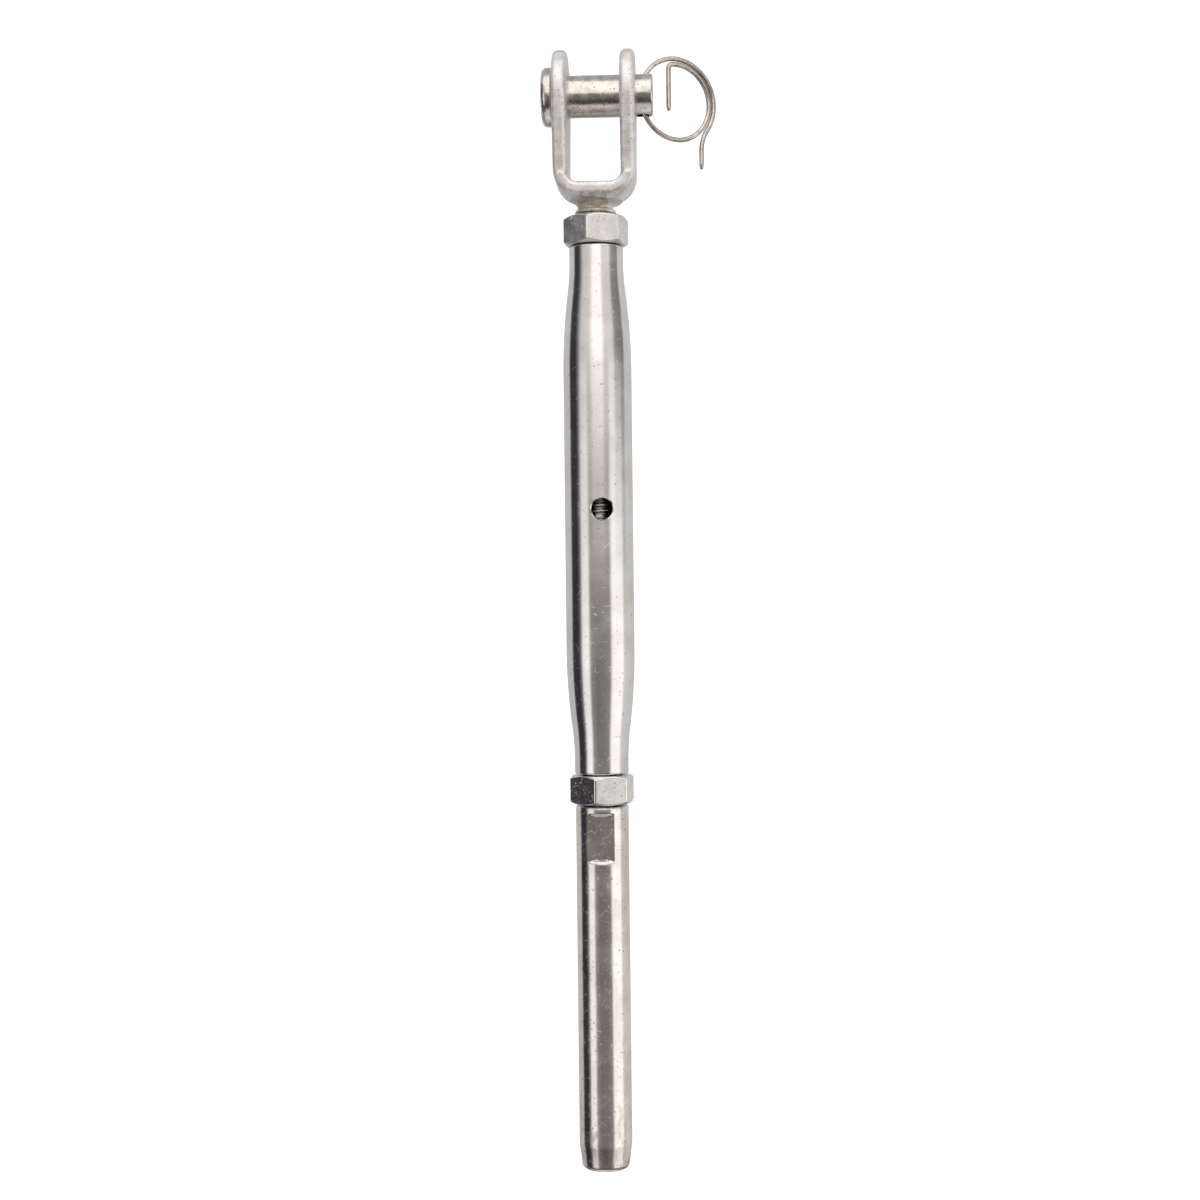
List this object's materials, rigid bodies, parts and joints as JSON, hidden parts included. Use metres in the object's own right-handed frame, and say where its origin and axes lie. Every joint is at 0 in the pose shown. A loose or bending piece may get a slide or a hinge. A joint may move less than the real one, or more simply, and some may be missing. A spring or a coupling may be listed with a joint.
{
  "type": "rigging turnbuckle",
  "caption": "Closed-body rigging turnbuckle with a fork, clevis pin and cotter ring at the top, lock nuts on both studs, and a swage terminal for wire rope at the bottom.",
  "frame": {"origin": "centre of the clevis pin, midway between the fork's ears", "axes": "+Z along the turnbuckle and out of the fork's open end, +X along the clevis pin from its head to its ring, -Y the side that the inspection hole faces"},
  "size_m": [0.053, 0.028, 0.3396],
  "materials": {
    "cast_steel": "tumbled stainless casting",
    "thread_steel": "rolled stainless thread",
    "pin_steel": "polished stainless, rubbed",
    "wire_steel": "bright drawn stainless wire",
    "nut_steel": "brushed stainless",
    "polished_steel": "polished stainless with fine scratches",
    "sleeve_steel": "polished stainless with fine scratches"
  },
  "bodies": {
    "jaw": {"jaw_fork": "cast_steel", "jaw_stud": "thread_steel"},
    "pin": {"clevis_pin": "pin_steel"},
    "ring": {"cotter_ring": "wire_steel"},
    "upper_nut": {"upper_lock_nut": "nut_steel"},
    "body": {"body_tube": "polished_steel"},
    "lower_nut": {"lower_lock_nut": "nut_steel"},
    "terminal": {"swage_terminal": "sleeve_steel"}
  },
  "joints": [
    {"name": "pin_turn", "type": "hinge", "parent": "jaw", "child": "pin", "pos_m": [0, 0, 0], "axis": [1, 0, 0], "continuous": true},
    {"name": "ring_swing", "type": "hinge", "parent": "pin", "child": "ring", "pos_m": [0.0149, 0, 0], "axis": [0, 0, 1], "range_deg": [-110, 50]},
    {"name": "upper_nut_run", "type": "slide", "parent": "jaw", "child": "upper_nut", "axis": [0, 0, -1], "range_m": [0, 0.0595]},
    {"name": "body_turn", "type": "hinge", "parent": "upper_nut", "child": "body", "pos_m": [0, 0, -0.126], "axis": [0, 0, -1], "range_deg": [0, 12240]},
    {"name": "terminal_run", "type": "slide", "parent": "upper_nut", "child": "terminal", "axis": [0, 0, -1], "range_m": [0, 0.0595]},
    {"name": "lower_nut_run", "type": "slide", "parent": "terminal", "child": "lower_nut", "axis": [0, 0, 1], "range_m": [0, 0.0595]}
  ],
  "couplings": [
    {"joint": "body_turn", "follows": "upper_nut_run", "rad_per_m": 3590.4},
    {"joint": "terminal_run", "follows": "upper_nut_run", "ratio": 1},
    {"joint": "lower_nut_run", "follows": "upper_nut_run", "ratio": 1}
  ]
}
